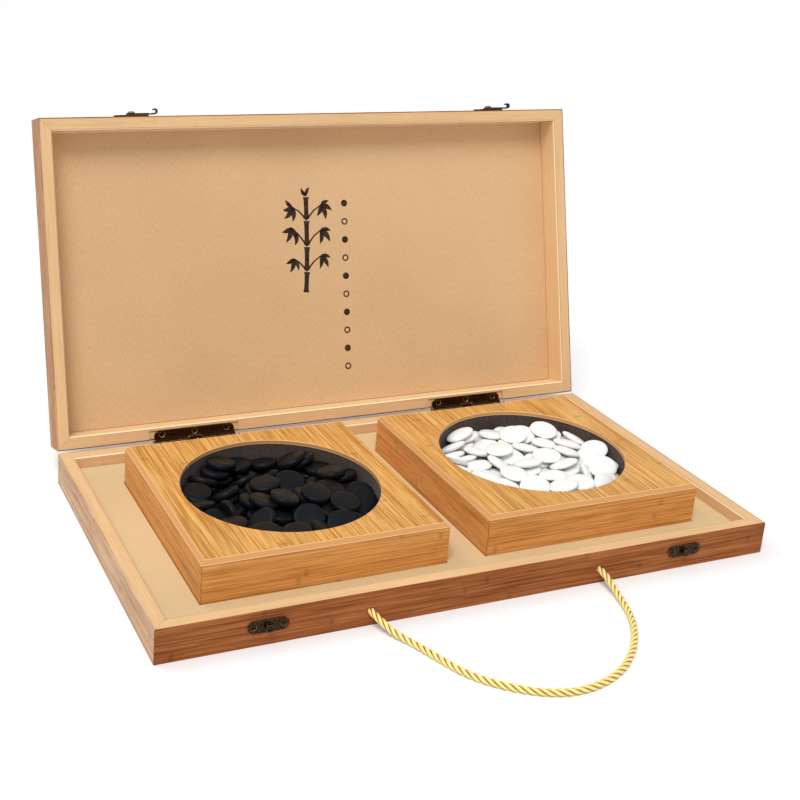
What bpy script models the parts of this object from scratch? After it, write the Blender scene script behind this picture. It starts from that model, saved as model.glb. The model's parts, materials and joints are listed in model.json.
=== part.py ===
"""A folding bamboo case that holds two square go stone bowls, with hinges, swing latches and a rope handle.

Lengths are in metres and +Z is up. The latches and the rope face -Y, and the origin is under the
middle of the tray. The lid stands open on its stop hinges and both bowls sit in the tray's liner.
"""

import math
import random

import bmesh
import bpy
from mathutils import Matrix, Vector

for old in list(bpy.data.objects):
    bpy.data.objects.remove(old, do_unlink=True)

MM = 0.001
GAP = 0.3 * MM  # between neighbouring pieces

# Case
CASE_LENGTH = 470 * MM
CASE_DEPTH = 255 * MM
TRAY_HEIGHT = 24.5 * MM
LID_DEPTH = 24.5 * MM
TRAY_RIM = 10.5 * MM
LID_RIM = 10.0 * MM
OUTER_EDGE = 0.5 * MM  # chamfer on a rim's outer edge
INNER_EDGE = 1.2 * MM  # bevel on a rim's inner edge
BOTTOM_PANEL = 3.0 * MM
LINER_TOP = 15.5 * MM
LINER_SLACK = 0.6 * MM  # round a bowl in its cut-out
LID_BOARD = 2.0 * MM
LID_LINING = 0.7 * MM
LID_BASE = TRAY_HEIGHT + GAP  # height of the closed lid's rim

# Hinges
LID_OPENING = math.radians(105.6)
AXIS_BEHIND = 1.0 * MM  # from the case's back face
AXIS_Y = CASE_DEPTH / 2 + AXIS_BEHIND
AXIS_Z = TRAY_HEIGHT + GAP / 2
HINGE_X = 124.5 * MM
HINGE_LENGTH = 67 * MM
KNUCKLE_OUTER = 1.7 * MM
KNUCKLE_BORE = 1.1 * MM
MIDDLE_KNUCKLE = 10 * MM
PIN_RADIUS = 0.8 * MM
LEAF_THICK = 1.0 * MM
LEAF_WIDTH = 6.4 * MM
LEAF_CORNER = 4.5 * MM
LEAF_SCREW_PITCH = 27 * MM
LEAF_NEAR = KNUCKLE_OUTER + GAP  # from the axis
LEAF_SCREW_BACK = LEAF_NEAR + LEAF_WIDTH / 2 - 0.1 * MM
MORTISE_LENGTH = 75 * MM
MORTISE_WIDTH = 7.7 * MM

# Latches, with distances out from the case's front face
LATCH_X = 161 * MM
PLATE_LENGTH = 28 * MM
PLATE_WIDTH = 8.8 * MM
PLATE_THICK = 1.0 * MM
PLATE_SCREW_X = 10.5 * MM
CATCH_Z = 14.4 * MM
PIVOT_Z = 30.3 * MM  # with the lid closed
LEVER_THICK = 1.0 * MM
LEVER_OUT = PLATE_THICK + 2 * GAP
LEVER_HUB = 4.0 * MM
LEVER_HALF_WIDTH = 3.3 * MM
RIVET_RADIUS = 1.4 * MM
RIVET_HEAD = 3.0 * MM
LUG_NECK_Z = 15.5 * MM
LUG_NECK_WIDTH = 3.0 * MM
LUG_TAB_WIDTH = 5.0 * MM
LUG_TAB_OUT = 3.0 * MM
LUG_TAB_DROP = 5.0 * MM

# Countersunk wood screws
SCREW_HEAD = 1.95 * MM
SCREW_HEAD_DEEP = 0.9 * MM
SCREW_SHANK = 0.9 * MM
SCREW_LENGTH = 6.5 * MM
SCREW_SLACK = 0.35 * MM

# Bowls
BOWL_SIDE = 179 * MM
BOWL_X = 105 * MM
BOWL_Y = -5 * MM
BOWL_BASE = BOTTOM_PANEL + GAP
BOWL_TOP = 45.8 * MM
BOWL_WALL = 9 * MM
BOWL_BOARD = 3.0 * MM
TOP_PANEL = 3.3 * MM
TOP_CHAMFER = 3.0 * MM
OPENING_RADIUS = 72 * MM
LINING_RADIUS = 74 * MM
LINING_THICK = 1.6 * MM

# Stones
STONE_RADIUS = 11 * MM
STONE_HALF_THICK = 4.0 * MM

# Rope handle
ROPE_RADIUS = 2.4 * MM
ROPE_HOLE = 2.8 * MM
ROPE_X = 89 * MM
ROPE_Z = 10.5 * MM
KNOT_RADIUS = 4.4 * MM
KNOT_Z = 9.0 * MM
ROPE_STEP = 11 * MM
# The rope's route from its left hole to its right one, in millimetres.
ROPE_ROUTE = (
    (-89, -117, 10.5), (-89, -128, 10.5), (-86.5, -136.5, 8.4), (-81, -146, 4.4), (-75, -155.5, 2.7),
    (-70, -167, 2.6), (-64.5, -181, 2.6), (-58.5, -195, 2.6), (-49, -208.5, 2.6), (-36.5, -220, 2.6),
    (-22, -229.5, 2.6), (-7, -234.5, 2.6), (9, -235, 2.6), (26, -231, 2.6), (42, -223, 2.6),
    (57, -211, 2.6), (69.5, -197, 2.6), (79, -182, 2.6), (85, -168, 2.7), (88, -156, 3.4),
    (89.3, -146, 5.6), (89.5, -137, 8.6), (89, -128, 10.5), (89, -117, 10.5),
)


# ---------------------------------------------------------------- materials

def material(name, colour, roughness, metallic=0.0):
    made = bpy.data.materials.new(name)
    made.use_nodes = True
    shader = made.node_tree.nodes["Principled BSDF"]
    shader.inputs["Base Color"].default_value = (*colour, 1)
    shader.inputs["Roughness"].default_value = roughness
    shader.inputs["Metallic"].default_value = metallic
    return made


CARBONISED = material("carbonised_bamboo", (0.36, 0.14, 0.06), 0.42)
PALE_BAMBOO = material("pale_bamboo", (0.72, 0.45, 0.22), 0.45)
HONEY_BAMBOO = material("honey_bamboo", (0.68, 0.36, 0.11), 0.38)
CREAM_VELOUR = material("cream_velour", (0.80, 0.62, 0.42), 0.9)
CREAM_SILK = material("cream_silk", (0.74, 0.52, 0.32), 0.8)
DARK_FELT = material("dark_felt", (0.06, 0.045, 0.04), 0.95)
ANTIQUE_BRONZE = material("antique_bronze", (0.10, 0.055, 0.03), 0.4, 1.0)
BLACK_STONE = material("black_stone", (0.012, 0.012, 0.014), 0.45)
WHITE_STONE = material("white_stone", (0.86, 0.86, 0.84), 0.3)
GOLD_ROPE = material("gold_rope", (0.78, 0.52, 0.14), 0.6)


# ---------------------------------------------------------------- building blocks

def finish(name, bm, look, parent=None, location=(0, 0, 0), rotation=(0, 0, 0), smooth=False):
    """The bmesh as an object, placed in its parent's space."""
    bmesh.ops.recalc_face_normals(bm, faces=bm.faces)
    mesh = bpy.data.meshes.new(name)
    bm.to_mesh(mesh)
    bm.free()
    if smooth:
        mesh.shade_smooth()
        mesh.set_sharp_from_angle(angle=math.radians(35))
    return place(name, mesh, look, parent, location, rotation)


def place(name, mesh, look, parent=None, location=(0, 0, 0), rotation=(0, 0, 0)):
    """An object of a mesh that others may share."""
    made = bpy.data.objects.new(name, mesh)
    if look:
        mesh.materials.append(look)
    bpy.context.scene.collection.objects.link(made)
    made.parent = parent
    made.location = location
    made.rotation_euler = rotation
    return made


def empty(name, parent=None, location=(0, 0, 0), rotation=(0, 0, 0)):
    """An axis or a frame that other pieces are parented to."""
    return place(name, None, None, parent, location, rotation)


def cut(target, name, bm, operation="DIFFERENCE", location=None, rotation=None):
    """Cuts a shape out of the target, or joins it on, from beside it in the same parent's space."""
    tool = finish(name, bm, None, target.parent, target.location, target.rotation_euler)
    if location is not None:
        tool.location = location
    if rotation is not None:
        tool.rotation_euler = rotation
    tool.hide_render = True
    tool.display_type = "WIRE"
    modifier = target.modifiers.new(name, "BOOLEAN")
    modifier.operation = operation
    modifier.object = tool
    return tool


def box(low, high):
    bm = bmesh.new()
    low, high = Vector(low), Vector(high)
    size = high - low
    bmesh.ops.create_cube(bm, matrix=Matrix.Translation((low + high) / 2) @ Matrix.Diagonal((*size, 1)))
    return bm


def prism(outline, low, high):
    """An outline in X and Y, raised from one height to another."""
    bm = bmesh.new()
    floor = bm.faces.new([bm.verts.new((x, y, low)) for x, y in outline])
    raised = bmesh.ops.extrude_face_region(bm, geom=[floor])["geom"]
    corners = [v for v in raised if isinstance(v, bmesh.types.BMVert)]
    bmesh.ops.translate(bm, verts=corners, vec=(0, 0, high - low))
    return bm


def arc(centre, radius, start, end, steps):
    """Points of an arc, with the angles in degrees."""
    angles = [math.radians(start + (end - start) * i / steps) for i in range(steps + 1)]
    return [(centre[0] + radius * math.cos(a), centre[1] + radius * math.sin(a)) for a in angles]


def stadium(length, width, steps=8):
    middle = (length - width) / 2
    return arc((middle, 0), width / 2, -90, 90, steps) + arc((-middle, 0), width / 2, 90, 270, steps)


def lathe(profile, segments):
    """A solid turned about Z from points of radius and height that start and end on the axis."""
    bm = bmesh.new()
    rings = []
    for radius, height in profile:
        if radius == 0:
            rings.append([bm.verts.new((0, 0, height))])
            continue
        turn = [2 * math.pi * i / segments for i in range(segments)]
        rings.append([bm.verts.new((radius * math.cos(a), radius * math.sin(a), height)) for a in turn])
    for lower, upper in zip(rings, rings[1:]):
        for i in range(segments):
            j = (i + 1) % segments
            corners = (lower[i % len(lower)], lower[j % len(lower)], upper[j % len(upper)], upper[i % len(upper)])
            bm.faces.new(list(dict.fromkeys(corners)))
    return bm


def mitred_board(length, profile):
    """A board along X whose outer face is at Y = 0, with ends cut at 45 degrees."""
    bm = bmesh.new()
    slack = GAP / math.sqrt(2)
    left, right = (
        [bm.verts.new((side * (length / 2 - depth - slack), depth, height)) for depth, height in profile]
        for side in (-1, 1)
    )
    bm.faces.new(left)
    bm.faces.new(right)
    for i in range(len(profile)):
        j = (i + 1) % len(profile)
        bm.faces.new((left[i], left[j], right[j], right[i]))
    return bm


def drills(places, radius, depth, axis):
    """Cylinders that start at each place and run along an axis."""
    bm = bmesh.new()
    along = Vector(axis)
    turn = along.to_track_quat("Z", "Y").to_matrix().to_4x4()
    for place_of in places:
        middle = Matrix.Translation(Vector(place_of) + along * depth / 2)
        bmesh.ops.create_cone(
            bm, cap_ends=True, segments=12, radius1=radius, radius2=radius, depth=depth, matrix=middle @ turn
        )
    return bm


SIDES = (("front", 0), ("right", 90), ("back", 180), ("left", 270))


def four_walls(prefix, size, profile, look, parent=None, centre=(0, 0, 0)):
    """Four mitred boards round a rectangle, by side name."""
    made = {}
    for side, turn in SIDES:
        along, across = size if turn % 180 == 0 else (size[1], size[0])
        outward = Matrix.Rotation(math.radians(turn), 3, "Z") @ Vector((0, -across / 2, 0))
        made[side] = finish(
            f"{prefix}_{side}_wall", mitred_board(along, profile), look, parent,
            Vector(centre) + outward, (0, 0, math.radians(turn)),
        )
    return made


# ---------------------------------------------------------------- screws

def screw_mesh():
    """A countersunk cross-head screw whose face is at Z = 0 and whose tip points down."""
    profile = (
        (0, 0), (SCREW_HEAD, 0), (SCREW_SHANK, -SCREW_HEAD_DEEP),
        (SCREW_SHANK, 1.2 * MM - SCREW_LENGTH), (0, -SCREW_LENGTH),
    )
    blank = finish("screw_blank", lathe(profile, 12), ANTIQUE_BRONZE, smooth=True)
    for turn in (0, 90):
        recess = box((-1.2 * MM, -0.25 * MM, -0.45 * MM), (1.2 * MM, 0.25 * MM, 1 * MM))
        cut(blank, f"cross_recess_{turn}", recess, rotation=(0, 0, math.radians(turn)))
    depsgraph = bpy.context.evaluated_depsgraph_get()
    mesh = bpy.data.meshes.new_from_object(blank.evaluated_get(depsgraph))
    for spare in [o for o in bpy.data.objects if o.name.startswith(("screw_blank", "cross_recess"))]:
        bpy.data.objects.remove(spare, do_unlink=True)
    return mesh


SCREW = screw_mesh()


def countersink():
    """The hole that a screw takes in a plate whose face is at Z = 0."""
    wide, narrow = SCREW_HEAD + SCREW_SLACK, SCREW_SHANK + 0.5 * MM
    return lathe(
        ((0, 0.5 * MM), (wide + 0.5 * MM, 0.5 * MM), (wide, 0), (narrow, -SCREW_HEAD_DEEP), (narrow, -3 * MM),
         (0, -3 * MM)),
        12,
    )


# ---------------------------------------------------------------- tray

def rim_profile(rim, height):
    """A board's section as points of depth and height, with its rim's edges eased."""
    return (
        (0, 0), (rim, 0), (rim, height - INNER_EDGE), (rim - INNER_EDGE * 0.6, height),
        (OUTER_EDGE, height), (0, height - OUTER_EDGE),
    )


def hinge_screw_places(z):
    """Where the leaves' screws enter a back wall's rim."""
    return [
        (side * HINGE_X + n * LEAF_SCREW_PITCH, AXIS_Y - LEAF_SCREW_BACK, z)
        for side in (-1, 1) for n in (-1, 0, 1)
    ]


def cut_mortises(wall, rim, inward, shift=(0, 0, 0)):
    """Both hinges' recesses in a back wall's rim, deeper for the knuckles. inward is 1 if the wall is above it."""
    recesses = (
        ("leaf", CASE_DEPTH / 2 - MORTISE_WIDTH, LEAF_THICK + GAP),
        ("knuckle", AXIS_Y - LEAF_NEAR, LEAF_NEAR),
    )
    for name, side in (("left", -1), ("right", 1)):
        for part, start, deep in recesses:
            low, high = sorted((rim + inward * deep, rim - inward * MM))
            shape = box(
                (side * HINGE_X - MORTISE_LENGTH / 2, start, low),
                (side * HINGE_X + MORTISE_LENGTH / 2, CASE_DEPTH / 2 + 2 * MM, high),
            )
            cut(wall, f"{wall.name}_{part}_{name}", shape, location=shift, rotation=(0, 0, 0))


def make_tray():
    walls = four_walls("tray", (CASE_LENGTH, CASE_DEPTH), rim_profile(TRAY_RIM, TRAY_HEIGHT), CARBONISED)
    front, back = walls["front"], walls["back"]
    rope = [(side * ROPE_X, -CASE_DEPTH / 2 - 1 * MM, ROPE_Z) for side in (-1, 1)]
    cut(front, "rope_holes", drills(rope, ROPE_HOLE, TRAY_RIM + 2 * MM, (0, 1, 0)), location=(0, 0, 0))
    catch = [
        (side * LATCH_X + n * PLATE_SCREW_X, -CASE_DEPTH / 2 - 1 * MM, CATCH_Z)
        for side in (-1, 1) for n in (-1, 1)
    ]
    pilot = SCREW_SHANK + GAP
    cut(front, "catch_pilots", drills(catch, pilot, SCREW_LENGTH + 1 * MM, (0, 1, 0)), location=(0, 0, 0))
    cut_mortises(back, TRAY_HEIGHT, -1)
    holes = drills(hinge_screw_places(TRAY_HEIGHT), pilot, SCREW_LENGTH + 1 * MM, (0, 0, -1))
    cut(back, "tray_leaf_pilots", holes, location=(0, 0, 0), rotation=(0, 0, 0))

    inner_x = CASE_LENGTH / 2 - TRAY_RIM - GAP
    inner_y = CASE_DEPTH / 2 - TRAY_RIM - GAP
    finish("tray_bottom_panel", box((-inner_x, -inner_y, 0), (inner_x, inner_y, BOTTOM_PANEL)), PALE_BAMBOO)
    liner = finish(
        "tray_liner", box((-inner_x, -inner_y, BOWL_BASE), (inner_x, inner_y, LINER_TOP)), CREAM_VELOUR
    )
    reach = BOWL_SIDE / 2 + LINER_SLACK
    for name, x in (("black", -BOWL_X), ("white", BOWL_X)):
        shape = box((x - reach, BOWL_Y - reach, 0), (x + reach, BOWL_Y + reach, LINER_TOP + 5 * MM))
        cut(liner, f"{name}_bowl_cutout", shape)
    room = KNOT_RADIUS + 0.8 * MM
    for name, x in (("left", -ROPE_X), ("right", ROPE_X)):
        shape = box((x - room, -inner_y - 1 * MM, 0), (x + room, -inner_y + 2 * room, KNOT_Z + room))
        cut(liner, f"{name}_knot_pocket", shape)


# ---------------------------------------------------------------- hinges

def leaf_outline(fingers):
    """A leaf's outline beside its axis, which is X, with the fingers that reach into its knuckles."""
    near, far = -LEAF_NEAR, -LEAF_NEAR - LEAF_WIDTH
    half = HINGE_LENGTH / 2
    tip = -1.15 * MM
    points = arc((-half + LEAF_CORNER, far + LEAF_CORNER), LEAF_CORNER, 180, 270, 6)
    points += arc((half - LEAF_CORNER, far + LEAF_CORNER), LEAF_CORNER, 270, 360, 6)
    points.append((half, near))
    for start, end in sorted(fingers, reverse=True):
        points += [(end, near), (end, tip), (start, tip), (start, near)]
    points.append((-half, near))
    return points


def tube(start, end, segments=16):
    """A knuckle along X."""
    bm = bmesh.new()
    rings = []
    for x, radius in (
        (start, KNUCKLE_BORE), (start, KNUCKLE_OUTER), (end, KNUCKLE_OUTER), (end, KNUCKLE_BORE)
    ):
        turn = [2 * math.pi * (i + 0.5) / segments for i in range(segments)]
        rings.append([bm.verts.new((x, radius * math.cos(a), radius * math.sin(a))) for a in turn])
    for n in range(4):
        here, there = rings[n], rings[(n + 1) % 4]
        for i in range(segments):
            j = (i + 1) % segments
            bm.faces.new((here[i], here[j], there[j], there[i]))
    return bm


def make_leaf(name, fingers, low, face_up, parent, location):
    """A hinge leaf with its knuckles, and countersunk holes in the face that shows when it is open."""
    inset = [(start + 0.15 * MM, end - 0.15 * MM) for start, end in fingers]
    leaf = finish(name, prism(leaf_outline(inset), low, low + LEAF_THICK), ANTIQUE_BRONZE, parent, location)
    for n, (start, end) in enumerate(fingers):
        cut(leaf, f"{name}_knuckle_{n}", tube(start, end), "UNION")
    face = low + LEAF_THICK if face_up else low
    for n in (-1, 0, 1):
        spot = Vector(location) + Vector((n * LEAF_SCREW_PITCH, -LEAF_SCREW_BACK, face))
        turn = (0 if face_up else math.pi, 0, 0)
        cut(leaf, f"{name}_hole_{n + 2}", countersink(), location=spot, rotation=turn)
    return leaf


def make_hinge(name, x, lid):
    """One hinge: the tray's leaf and pin stay put, and the lid's leaf and screws go with the lid."""
    half, middle = HINGE_LENGTH / 2, MIDDLE_KNUCKLE / 2
    outer = [(-half, -middle - GAP), (middle + GAP, half)]
    make_leaf(f"{name}_tray_leaf", outer, -GAP / 2 - LEAF_THICK, True, None, (x, AXIS_Y, AXIS_Z))
    make_leaf(f"{name}_lid_leaf", [(-middle, middle)], GAP / 2, False, lid, (x, 0, 0))
    head, end = 1.5 * MM, half + GAP
    pin = lathe(
        ((0, -end - 0.6 * MM), (head * 0.7, -end - 0.6 * MM), (head, -end - 0.3 * MM), (head, -end),
         (PIN_RADIUS, -end), (PIN_RADIUS, end), (head, end), (head, end + 0.3 * MM),
         (head * 0.7, end + 0.6 * MM), (0, end + 0.6 * MM)),
        14,
    )
    finish(f"{name}_pin", pin, ANTIQUE_BRONZE, None, (x, AXIS_Y, AXIS_Z), (0, math.pi / 2, 0), True)
    for n in range(3):
        spot = (x + (n - 1) * LEAF_SCREW_PITCH, -LEAF_SCREW_BACK, GAP / 2 + 0.05 * MM)
        place(f"{name}_lid_screw_{n + 1}", SCREW, None, lid, spot, (math.pi, 0, math.radians(20 + 35 * n)))


# ---------------------------------------------------------------- lid

def make_lid(lid):
    """The lid's boards, in the closed lid's place seen from the hinge axis."""
    shift = Vector((0, -AXIS_Y, LID_BASE - AXIS_Z))
    profile = [(depth, LID_DEPTH - height) for depth, height in rim_profile(LID_RIM, LID_DEPTH)]
    walls = four_walls("lid", (CASE_LENGTH, CASE_DEPTH), profile, PALE_BAMBOO, lid, shift)
    pilot = SCREW_SHANK + GAP
    back, front = walls["back"], walls["front"]
    cut_mortises(back, 0, 1, shift)
    holes = drills(hinge_screw_places(0), pilot, SCREW_LENGTH + 1 * MM, (0, 0, 1))
    cut(back, "lid_leaf_pilots", holes, location=shift, rotation=(0, 0, 0))
    spots = [
        (side * LATCH_X + n * PLATE_SCREW_X, -CASE_DEPTH / 2 - 1 * MM, PIVOT_Z - LID_BASE)
        for side in (-1, 1) for n in (-1, 1)
    ]
    cut(front, "latch_pilots", drills(spots, pilot, SCREW_LENGTH + 1 * MM, (0, 1, 0)), location=shift)

    inner_x = CASE_LENGTH / 2 - LID_RIM - GAP
    inner_y = CASE_DEPTH / 2 - LID_RIM - GAP
    board = box((-inner_x, -inner_y, LID_DEPTH - LID_BOARD), (inner_x, inner_y, LID_DEPTH))
    finish("lid_top_board", board, CARBONISED, lid, shift)
    under = LID_DEPTH - LID_BOARD - GAP
    lining = box((-inner_x, -inner_y, under - LID_LINING), (inner_x, inner_y, under))
    finish("lid_lining_panel", lining, CREAM_SILK, lid, shift)


# ---------------------------------------------------------------- latches

FACING_FRONT = (math.pi / 2, 0, 0)  # turns a plate so that its +Z face looks along -Y


def make_plate(name, parent, location, bore=None):
    """A stadium plate that stands upright with two countersunk screws."""
    plate = finish(
        name, prism(stadium(PLATE_LENGTH, PLATE_WIDTH), GAP, GAP + PLATE_THICK), ANTIQUE_BRONZE,
        parent, location, FACING_FRONT,
    )
    face = Vector((0, -GAP - PLATE_THICK, 0))
    for n, side in enumerate((-1, 1)):
        spot = Vector(location) + face + Vector((side * PLATE_SCREW_X, 0, 0))
        cut(plate, f"{name}_hole_{n + 1}", countersink(), location=spot)
        turn = (math.pi / 2, math.radians(25 + 40 * n), 0)
        place(f"{name}_screw_{n + 1}", SCREW, None, parent, spot + Vector((0, 0.05 * MM, 0)), turn)
    if bore:
        cut(plate, f"{name}_bore", drills([(0, 0, 0)], bore, 3 * MM, (0, 0, 1)))
    return plate


def lever_outline():
    """The lever's flat part, along +X from its pivot, with a side notch for the catch's neck."""
    neck = PIVOT_Z - LUG_NECK_Z
    low, high = neck - 1.3 * MM, neck + 1.3 * MM
    deep = LUG_NECK_WIDTH / 2 + 0.4 * MM
    end = 19.3 * MM
    start = math.degrees(math.asin(LEVER_HALF_WIDTH / LEVER_HUB))
    points = arc((0, 0), LEVER_HUB, start, 360 - start, 14)
    points += [(low, -LEVER_HALF_WIDTH), (low, deep), (high, deep), (high, -LEVER_HALF_WIDTH)]
    points += [(end, -2.4 * MM), (end, 2.4 * MM), (high, LEVER_HALF_WIDTH)]
    return points


def curl_outline():
    """The lever's curled finger tip from the side, as points along it and out from the case."""
    thick = LEVER_THICK
    middle = (18.9 * MM, LEVER_OUT + GAP + thick + 1.3 * MM)
    outer = arc(middle, 1.3 * MM + thick, -90, 130, 10)
    inner = arc(middle, 1.3 * MM, 130, -90, 10)
    foot = LEVER_OUT + GAP
    return [(17.6 * MM, foot)] + outer + inner + [(17.6 * MM, foot + thick)]


def make_latch(name, x, lid):
    """One swing latch: a plate, rivet and lever on the lid, and a catch on the tray."""
    pivot = Vector((x, -CASE_DEPTH / 2 - AXIS_Y, PIVOT_Z - AXIS_Z))
    make_plate(f"{name}_plate", lid, pivot, RIVET_RADIUS + GAP)
    out = LEVER_OUT + LEVER_THICK + GAP
    rivet = lathe(
        ((0, 0.4 * MM), (RIVET_RADIUS, 0.4 * MM), (RIVET_RADIUS, out), (RIVET_HEAD, out),
         (RIVET_HEAD, out + 0.4 * MM), (RIVET_HEAD * 0.8, out + 0.9 * MM), (RIVET_HEAD * 0.45, out + 1.25 * MM),
         (0, out + 1.4 * MM)),
        14,
    )
    finish(f"{name}_rivet", rivet, ANTIQUE_BRONZE, lid, pivot, FACING_FRONT, True)
    axis = empty(f"{name}_pivot", lid, pivot)
    lever = finish(
        f"{name}_lever", prism(lever_outline(), LEVER_OUT, LEVER_OUT + LEVER_THICK), ANTIQUE_BRONZE,
        axis, (0, 0, 0), FACING_FRONT,
    )
    curl = prism(curl_outline(), -2.2 * MM, 2.2 * MM)
    bmesh.ops.rotate(curl, verts=curl.verts, cent=(0, 0, 0), matrix=Matrix.Rotation(math.pi / 2, 3, "X"))
    bmesh.ops.translate(curl, verts=curl.verts, vec=(0, 0, -GAP))
    cut(lever, f"{name}_curl", curl, "UNION")
    cut(lever, f"{name}_lever_bore", drills([(0, 0, 0)], RIVET_RADIUS + GAP, 5 * MM, (0, 0, 1)))

    centre = Vector((x, -CASE_DEPTH / 2, CATCH_Z))
    catch = make_plate(f"{name}_catch", None, centre)
    half_neck, half_tab = LUG_NECK_WIDTH / 2, LUG_TAB_WIDTH / 2
    up = LUG_NECK_Z - CATCH_Z
    top = up + 0.5 * MM
    neck = box((-half_neck, up - 0.5 * MM, 0.8 * MM), (half_neck, top, LUG_TAB_OUT + 0.5 * MM))
    cut(catch, f"{name}_neck", neck, "UNION")
    tab = box((-half_tab, top - LUG_TAB_DROP, LUG_TAB_OUT), (half_tab, top, LUG_TAB_OUT + PLATE_THICK))
    edges = [e for e in tab.edges if abs(e.verts[0].co.z - e.verts[1].co.z) > 0.5 * MM]
    bmesh.ops.bevel(tab, geom=edges, offset=1.2 * MM, segments=3, affect="EDGES", profile=0.5)
    cut(catch, f"{name}_tab", tab, "UNION")


# ---------------------------------------------------------------- bowls

def make_bowl(name, x):
    """A square bowl: four mitred walls, a top panel with a round opening, a base board and a felt cup."""
    bowl = empty(f"{name}_lift", None, (x, BOWL_Y, 0))
    wall_top = BOWL_TOP - TOP_PANEL - GAP
    profile = ((0, BOWL_BASE), (BOWL_WALL, BOWL_BASE), (BOWL_WALL, wall_top), (0, wall_top))
    four_walls(name, (BOWL_SIDE, BOWL_SIDE), profile, HONEY_BAMBOO, bowl)

    half = BOWL_SIDE / 2
    panel = box((-half, -half, BOWL_TOP - TOP_PANEL), (half, half, BOWL_TOP))
    rim = [e for e in panel.edges if all(v.co.z > BOWL_TOP - 0.1 * MM for v in e.verts)]
    bmesh.ops.bevel(panel, geom=rim, offset=TOP_CHAMFER, segments=1, affect="EDGES")
    top = finish(f"{name}_top_panel", panel, HONEY_BAMBOO, bowl)
    eased = 0.5 * MM
    hole = lathe(
        ((0, BOWL_TOP - TOP_PANEL - 2 * MM), (OPENING_RADIUS, BOWL_TOP - TOP_PANEL - 2 * MM),
         (OPENING_RADIUS, BOWL_TOP - eased), (OPENING_RADIUS + 3 * eased, BOWL_TOP + 2 * eased),
         (0, BOWL_TOP + 2 * eased)),
        56,
    )
    cut(top, f"{name}_opening", hole)

    inside = half - BOWL_WALL - GAP
    base = box((-inside, -inside, BOWL_BASE), (inside, inside, BOWL_BASE + BOWL_BOARD))
    finish(f"{name}_base_board", base, HONEY_BAMBOO, bowl)
    floor, inner = BOWL_BASE + BOWL_BOARD + GAP, LINING_RADIUS - LINING_THICK
    cup = lathe(
        ((0, floor), (LINING_RADIUS, floor), (LINING_RADIUS, wall_top), (inner, wall_top),
         (inner, floor + LINING_THICK), (0, floor + LINING_THICK)),
        56,
    )
    finish(f"{name}_felt_lining", cup, DARK_FELT, bowl, smooth=True)
    return bowl


# ---------------------------------------------------------------- stones

def make_stones(name, bowl, look, count, edge_level, peak_level, peak_y, highest, seed):
    """The heap that fills a bowl: a body of stones with a top layer of single ones, as one solid."""
    dice = random.Random(seed)
    floor = BOWL_BASE + BOWL_BOARD + LINING_THICK + 2 * GAP
    reach = LINING_RADIUS - LINING_THICK - 2 * GAP
    spread = reach - STONE_RADIUS - 0.5 * MM

    def level_at(x, y):
        slope = min(1, math.hypot(x, y - peak_y) / spread)
        return peak_level + (edge_level - peak_level) * slope ** 2

    rings = [(reach * share / 3, edge_level) for share in (3, 2, 1, 0)]
    body = lathe(((0, floor), (reach, floor), *rings), 28)
    for v in body.verts:
        if v.co.z > floor + 1 * MM:
            v.co.z = level_at(v.co.x, v.co.y) - 2 * MM
    heap = finish(name, body, look, bowl)
    thick, radius = STONE_HALF_THICK, STONE_RADIUS
    profile = (
        (0, -thick), (radius * 0.66, -thick * 0.68), (radius, 0), (radius * 0.66, thick * 0.68), (0, thick)
    )
    stones = bpy.data.collections.new(f"{name}_single_stones")
    bpy.context.scene.collection.children.link(stones)
    for n in range(count):
        out = spread * math.sqrt((n + 0.5) / count)
        turn = n * math.radians(137.508)
        x, y = out * math.cos(turn), out * math.sin(turn)
        tilt = math.radians(dice.uniform(6, 24))
        level = level_at(x, y) + dice.uniform(-1, 1.5) * MM
        level = min(level, highest - radius * math.sin(tilt) - 1.5 * MM)
        stone = finish(
            f"{name}_{n}", lathe(profile, 10), None, bowl, (x, y, level), (tilt, 0, dice.uniform(0, 2 * math.pi))
        )
        stone.hide_render = True
        stone.display_type = "WIRE"
        bpy.context.scene.collection.objects.unlink(stone)
        stones.objects.link(stone)
    joined = heap.modifiers.new("single_stones", "BOOLEAN")
    joined.operation = "UNION"
    joined.operand_type = "COLLECTION"
    joined.collection = stones


# ---------------------------------------------------------------- rope handle

def smooth_route(points, step):
    """Evenly spaced points of one smooth curve that passes through every given point."""
    knots = [Vector(p) * MM for p in points]
    knots = [2 * knots[0] - knots[1], *knots, 2 * knots[-1] - knots[-2]]
    fine = []
    for before, start, end, after in zip(knots, knots[1:], knots[2:], knots[3:]):
        for n in range(20):
            t = n / 20
            fine.append(
                0.5 * (2 * start + (end - before) * t + (2 * before - 5 * start + 4 * end - after) * t * t
                       + (3 * start - before - 3 * end + after) * t * t * t)
            )
    fine.append(knots[-2])
    along = [0.0]
    for a, b in zip(fine, fine[1:]):
        along.append(along[-1] + (b - a).length)
    count = round(along[-1] / step)
    spaced, n = [], 0
    for k in range(count + 1):
        want = along[-1] * k / count
        while n < len(along) - 2 and along[n + 1] < want:
            n += 1
        share = (want - along[n]) / (along[n + 1] - along[n])
        spaced.append(fine[n].lerp(fine[n + 1], share))
    return spaced


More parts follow.
